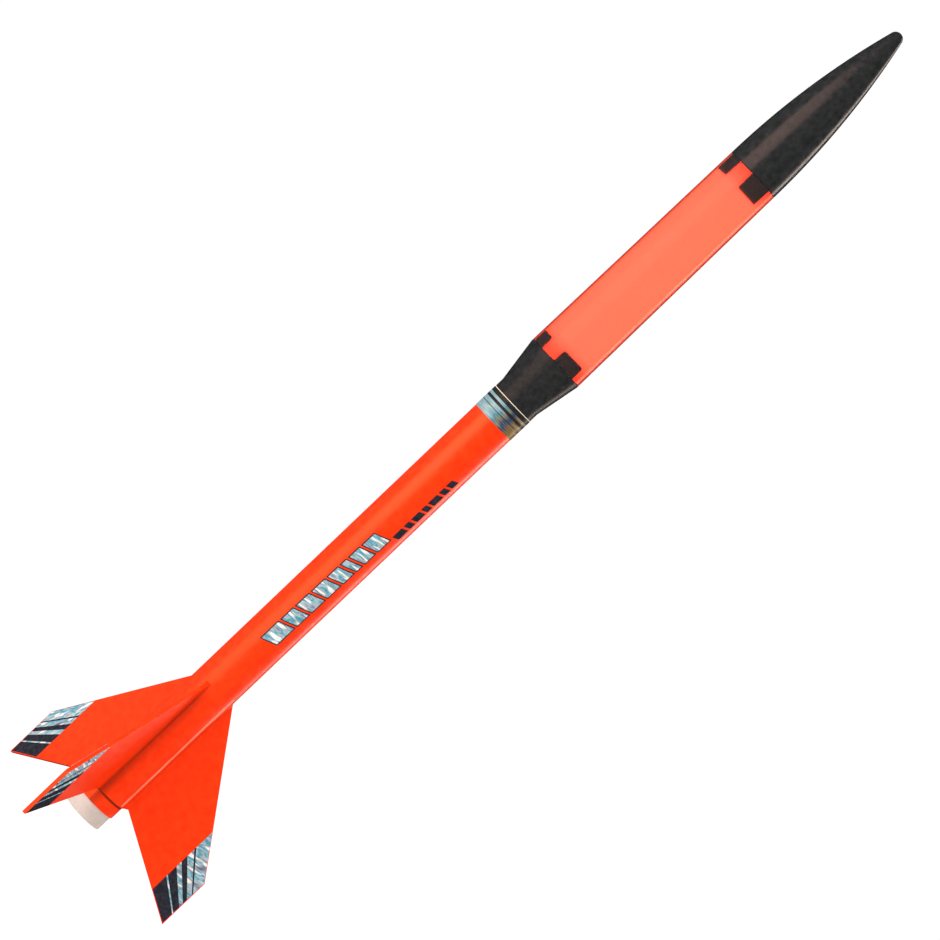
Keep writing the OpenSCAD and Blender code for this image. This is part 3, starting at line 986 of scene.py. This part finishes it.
def build_cord_pad():
    """Three layers of folded paper, glued inside the body tube, each a little smaller than the last."""
    low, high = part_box("cord_mount")
    outer = BORE_R - 0.05 * MM
    width, corner, layer, gap = 10.5 * MM, 1 * MM, 0.28 * MM, 0.03 * MM
    bm = bmesh.new()
    for k in range(3):
        trim = 0.5 * MM * k
        radius = outer - k * layer
        columns = rounded_columns(180, width - trim, low.z + trim, high.z - trim, corner, radius)
        shell_strip(bm, columns, radius, radius - layer + gap)
    piece("cord_pad", bm, "airframe", ["cord_mount"], [KRAFT], 0.06 * MM)


def build_cord():
    """The elastic shock cord, and its knot on the transition's loop."""
    path = curve_through([Vector(p) * MM for p in CORD_POINTS], 9)
    bm = bmesh.new()
    sweep(bm, path, CORD_R, 14, 4 * CORD_R)
    cord = piece("shock_cord_elastic", bm, None, ["shock_cord"], [ELASTIC], crease=60)
    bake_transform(cord)
    steps, laps = 16, 3
    knot = []
    for k in range(steps * laps + 1):
        turn = 2 * math.pi * k / steps
        x, y = 0.25 * math.sin(turn * 2 / 3), 0.1 + 1.25 * math.cos(turn)
        z = 222.1 + 1.15 * math.sin(turn) + 0.25 * math.cos(turn / 2)
        knot.append(Vector((x, y, z)) * MM)
    bm = bmesh.new()
    sweep(bm, knot, 0.55 * MM, 10, 4 * CORD_R)
    piece("shock_cord_knot", bm, "payload_section", [], [ELASTIC], crease=60)


def build_wadding():
    """A crumpled plug of tissue."""
    radius, low, high = round_node("recovery_wadding")
    middle = Vector((0, 0, (low + high) / 2))
    rings, turns = 40, 96
    creases, finer, deepest = 320, 2.3, 0.22  # creases per metre, and how deep they go
    profile = []
    for i in range(rings):
        a = math.pi * i / rings
        rise = math.copysign(abs(math.cos(a)) ** 0.5, math.cos(a))
        profile.append((radius * math.sin(a) ** 0.35, middle.z - (high - low) / 2 * rise))
    bm = bmesh.new()
    lathe(bm, profile + [(0, high)], turns=turns)
    for vert in bm.verts:
        spot = vert.co * creases
        crease = abs(noise.noise(spot)) + 0.5 * abs(noise.noise(spot * finer))
        vert.co = middle + (vert.co - middle) * (1 - deepest * min(1, crease * 1.6))
    piece("wadding_plug", bm, "airframe", ["recovery_wadding"], [TISSUE], crease=24)


CHUTE_FLATS = 305 * MM  # width of the hexagon that the parachute is cut from


def build_parachute():
    """The plastic parachute, rolled up."""
    radius, low, high = round_node("parachute")
    area = math.sqrt(3) / 2 * CHUTE_FLATS ** 2
    share_rolled, heart = 0.78, 0.3 * MM
    pitch = math.pi * radius ** 2 * (high - low) / (share_rolled * area)
    turns = (radius - heart) / pitch
    per_turn, rows = 22, 6
    steps = int(turns * per_turn)
    ragged, waves = 1.4 * MM, 0.12 * MM
    grid = []
    bm = bmesh.new()
    for i in range(steps + 1):
        angle = 360 * turns * i / steps
        column = []
        spread = heart + (radius - 0.5 * MM) * i / steps
        for j in range(rows + 1):
            share = j / rows
            edge = ragged * abs(noise.noise(Vector((i * 0.011, share * 3, 5))))
            z = low + edge + (high - low - 2 * edge) * share
            swing = Vector((math.cos(math.radians(angle)) * 3, spread * 900, share * 5))
            column.append(bm.verts.new(polar(spread + waves * noise.noise(swing), angle, z)))
        grid.append(column)
    for a, b in zip(grid, grid[1:]):
        for j in range(rows):
            bm.faces.new([a[j], b[j], b[j + 1], a[j + 1]])
    chute = piece("parachute_film", bm, "airframe", ["parachute"], [CHUTE], crease=60)


def build_shroud_lines():
    """The parachute's lines, wound round it in two layers that lean opposite ways."""
    outer, low, high = round_node("shroud_lines")
    wire = 0.22 * MM
    rise = high - low - 2 * wire
    spacing, per_lap = 2.3 * wire, 28
    laps = rise / spacing
    count = int(laps * per_lap)
    bm = bmesh.new()
    for radius, way in ((outer - 3 * wire, 1), (outer - wire, -1)):
        path = [polar(radius, 360 * laps * k / count * way, low + wire + rise * k / count)
                for k in range(count + 1)]
        sweep(bm, path, wire, 6)
    piece("shroud_line_winding", bm, "airframe", ["shroud_lines"], [THREAD], crease=60)


# ---- payload section and nose

def add_tabs(bm, outer, low, high, turn, upward):
    """Four locating tabs with rounded free corners, which reach into the tube."""
    width, corner = math.radians(TAB_ANGLE) * outer, 1.0 * MM
    for k in range(4):
        columns = rounded_columns(turn + 90 * k, width, low, high, corner, outer, upward)
        # mark 1 takes the tabs' darker plastic, which is painted shade
        shell_strip(bm, columns, outer, outer - TAB_THICK, 1)


def build_transition():
    """The black moulded transition: shoulder, lip, flare and tabs."""
    inner = SHOULDER_R - SHELL
    shelf = RIM_R - TUBE_WALL - TAB_THICK
    bm = bmesh.new()
    lathe(bm, [
        (inner, SHOULDER_Z), (SHOULDER_R - 0.35 * MM, SHOULDER_Z), (SHOULDER_R, SHOULDER_Z + 0.8 * MM),
        (SHOULDER_R, LIP_Z), (BODY_R, LIP_Z), (BODY_R, FLARE_Z), (RIM_R, RIM_Z), (RIM_R, RIM_TOP),
        (shelf, RIM_TOP), (shelf, RIM_TOP - SHELF), (RIM_R - SHELL, RIM_Z - SHELF),
        (BODY_R - SHELL, FLARE_Z), (inner, LIP_Z),
    ])
    add_tabs(bm, RIM_R - TUBE_WALL - TAB_GAP, RIM_TOP - TAB_ROOT, LOW_TAB_TOP, LOW_TAB_TURN, True)
    piece("transition_shell", bm, "payload_section", ["transition"],
          [FLARE_PLASTIC, SHADED_TAB_PLASTIC], 0.15 * MM)


def build_transition_plug():
    """The plug in the shoulder's lower end, with the loop that the shock cord is tied to."""
    plug = SHOULDER_R - SHELL - 0.05 * MM
    step_r, step_z, top = plug - 1.4 * MM, SHOULDER_Z + 0.5 * MM, SHOULDER_Z + 2 * MM
    bm = bmesh.new()
    lathe(bm, [(0, SHOULDER_Z), (step_r, SHOULDER_Z), (step_r, step_z), (plug, step_z),
               (plug, top), (0, top)])
    wire, loop_r, start, sweep_angle, steps = 0.8 * MM, 3.2 * MM, 128, 284, 32
    middle = Vector((0, 0, SHOULDER_Z - 1.6 * MM))
    loop = []
    for k in range(steps + 1):
        turn = math.radians(start + sweep_angle * k / steps)
        loop.append(middle + loop_r * Vector((math.cos(turn), 0, math.sin(turn))))
    sweep(bm, loop, wire, 16)
    piece("transition_plug", bm, "payload_section", ["transition_base"],
          [FLARE_PLASTIC], 0.1 * MM)


def build_payload_tube():
    """The translucent tube, slightly tapered, with softened ends."""
    ease = 0.15 * MM
    bm = bmesh.new()
    lathe(bm, [
        (RIM_R - TUBE_WALL + ease, TUBE_Z), (RIM_R - ease, TUBE_Z), (RIM_R, TUBE_Z + ease),
        (NOSE_R, TUBE_TOP - ease), (NOSE_R - ease, TUBE_TOP), (NOSE_R - TUBE_WALL + ease, TUBE_TOP),
        (NOSE_R - TUBE_WALL, TUBE_TOP - ease), (RIM_R - TUBE_WALL, TUBE_Z + ease),
    ], [0, 0, 0, 0, 0, 1, 1, 1])
    piece("payload_tube_clear", bm, "payload_section", ["payload_tube"], [CLEAR, MILKY])


def build_nose():
    """The hollow ogive nose with its four tabs."""
    ogive = (NOSE_R ** 2 + OGIVE_LEN ** 2) / (2 * NOSE_R)  # radius of its side's arc
    offset = ogive - NOSE_R
    tip = math.sqrt((ogive - NOSE_TIP_R) ** 2 - offset ** 2)  # height of the round tip's centre

    def radius(height, inset=0.0):
        return math.sqrt((ogive - inset) ** 2 - height ** 2) - offset

    tangent = tip * ogive / (ogive - NOSE_TIP_R)
    lean = math.asin(tip / (ogive - NOSE_TIP_R))
    steps, tip_steps, core_steps = 36, 8, 24
    outer = [(radius(tangent * i / steps), NOSE_Z + tangent * i / steps) for i in range(steps + 1)]
    for i in range(1, tip_steps + 1):
        a = lean + (math.pi / 2 - lean) * i / tip_steps
        spread = NOSE_TIP_R * math.cos(a) if i < tip_steps else 0
        outer.append((spread, NOSE_Z + tip + NOSE_TIP_R * math.sin(a)))
    shelf = NOSE_R - TUBE_WALL - TAB_THICK
    inner = [(0, NOSE_Z + NOSE_CORE_LEN)]
    for i in range(core_steps + 1):
        height = NOSE_CORE_LEN - (NOSE_CORE_LEN - SHELF) * i / core_steps
        inner.append((radius(height, SHELL), NOSE_Z + height))
    bm = bmesh.new()
    lathe(bm, outer + inner + [(shelf, NOSE_Z + SHELF), (shelf, NOSE_Z)])
    add_tabs(bm, NOSE_R - TUBE_WALL - TAB_GAP, NOSE_TAB_Z, NOSE_Z + TAB_ROOT, NOSE_TAB_TURN, False)
    piece("nose_shell", bm, "nose", ["nose_cone"],
          [NOSE_PLASTIC, SHADED_TAB_PLASTIC], 0.15 * MM)


# ---- engine

def build_casing():
    """The engine's paper casing."""
    ease = 0.25 * MM
    bm = bmesh.new()
    lathe(bm, [
        (CASING_BORE_R + ease, CASING_Z), (CASING_R - ease, CASING_Z), (CASING_R, CASING_Z + ease),
        (CASING_R, CASING_TOP - ease), (CASING_R - ease, CASING_TOP), (CASING_BORE_R + ease, CASING_TOP),
        (CASING_BORE_R, CASING_TOP - ease), (CASING_BORE_R, CASING_Z + ease),
    ])
    piece("casing_paper", bm, "engine", ["engine_casing"], [CASING])


def build_nozzle():
    """The clay nozzle, with its bell below and its throat opening into the grain."""
    _, low, high = round_node("engine_nozzle")
    throat, flare, lip, steps = 1.3 * MM, 1.9 * MM, 0.3 * MM, 10
    bell = []
    for k in range(steps + 1):
        a = math.pi / 2 * (1 - k / steps)
        z = low + (high - 6 * MM - low) * (1 - math.sin(a))
        bell.append((throat + flare * (1 - math.cos(a)), z))
    bm = bmesh.new()
    lathe(bm, bell + [(throat, high - 3 * MM), (2.8 * MM, high), (CHARGE_R, high),
                      (CHARGE_R, low + lip), (CHARGE_R - lip, low)])
    piece("nozzle_clay", bm, "engine", ["engine_nozzle"], [CLAY])


def build_charges():
    """The propellant with the pit above its nozzle, the delay, the ejection charge and the clay cap."""
    pit, ledge, dish = 1.6 * MM, 1.5 * MM, 0.4 * MM
    bm = bmesh.new()
    lathe(bm, [(pit, GRAIN_Z), (CHARGE_R, GRAIN_Z), (CHARGE_R, GRAIN_TOP), (0, GRAIN_TOP),
               (0, GRAIN_Z + 6 * MM), (1.2 * MM, GRAIN_Z + 5.5 * MM), (pit, GRAIN_Z + 4.6 * MM)])
    piece("grain_powder", bm, "engine", ["propellant_grain"], [POWDER], 0.1 * MM)
    upper = (("delay_charge", "delay", DELAY), ("ejection_charge", "propellant", POWDER),
             ("engine_end_cap", "clay", CLAY))
    for node, slot, surface in upper:
        _, low, high = round_node(node)
        bm = bmesh.new()
        lathe(bm, [(0, low), (CHARGE_R, low), (CHARGE_R, high), (CHARGE_R - ledge, high),
                   (0, high - dish)])
        piece(node + "_fill", bm, "engine", [node], [surface], 0.1 * MM)


make_camera()
make_lights()
make_tube_glow()
make_stage()
bpy.context.scene.view_settings.view_transform = "Standard"

PAINT = paint("orange_paint")
FIN_PAINT = paint("orange_fin_paint", wood=True)
# painted shade: darker paint for the side fins' edges
SHADED_EDGE_PAINT = paint("orange_shaded_edge_paint", wood=True, shade=0.5)
# painted highlight for the raised strip beside the second fin
SEAM_HIGHLIGHT_PAINT = seam_highlight_paint()
FOIL = foil("foil")
LONG_FOIL = foil("long_foil", lean=-2.0)
BAND_FOIL = foil("band_foil", lean=0.05, band=True)
BLACK_FILM = black_film()
# a thin cream ring along the band's upper edge
CREAM_RING = paper("cream_ring", (0.86, 0.76, 0.58), (0.74, 0.62, 0.42), 5 * MM)
NOSE_PLASTIC = black_plastic("nose_plastic", (0.014, 0.016, 0.016), (0.030, 0.029, 0.030), 0.052, 3.6)
FLARE_PLASTIC = black_plastic("flare_plastic", (0.014, 0.015, 0.015), (0.029, 0.028, 0.028), 0.026, 2.8)
# painted shade: a darker copy of the black plastic, for the tabs seen through the tube
SHADED_TAB_PLASTIC = black_plastic("shaded_tab_plastic", (0.002, 0.002, 0.002), (0.006, 0.006, 0.006), 0.02, 2.8)
CLEAR = clear_skin()
MILKY = milky_bore()
KRAFT = paper("kraft", (0.62, 0.50, 0.36), (0.50, 0.39, 0.27), 0.45 * MM)
CASING = paper("casing_paper", (0.60, 0.51, 0.45), (0.50, 0.41, 0.36), 0.4 * MM)
CLAY = pressed("clay", (0.28, 0.25, 0.22), (0.42, 0.38, 0.34), 2600)
POWDER = pressed("powder", (0.008, 0.008, 0.009), (0.03, 0.03, 0.03), 3200)
DELAY = pressed("delay", (0.14, 0.13, 0.12), (0.26, 0.25, 0.22), 3000)
ELASTIC = braid()
THREAD = thread()
CHUTE = film()
TISSUE = tissue()

build_cord_pad()
build_cord()
build_tubes()
for fin_number in range(len(FIN_ANGLES)):
    build_fin(fin_number)
    build_fin_foils(fin_number)
build_fillets()
build_band()
build_trim()
build_lug()
build_wadding()
build_parachute()
build_shroud_lines()
build_transition()
build_transition_plug()
build_payload_tube()
build_nose()
build_casing()
build_nozzle()
build_charges()
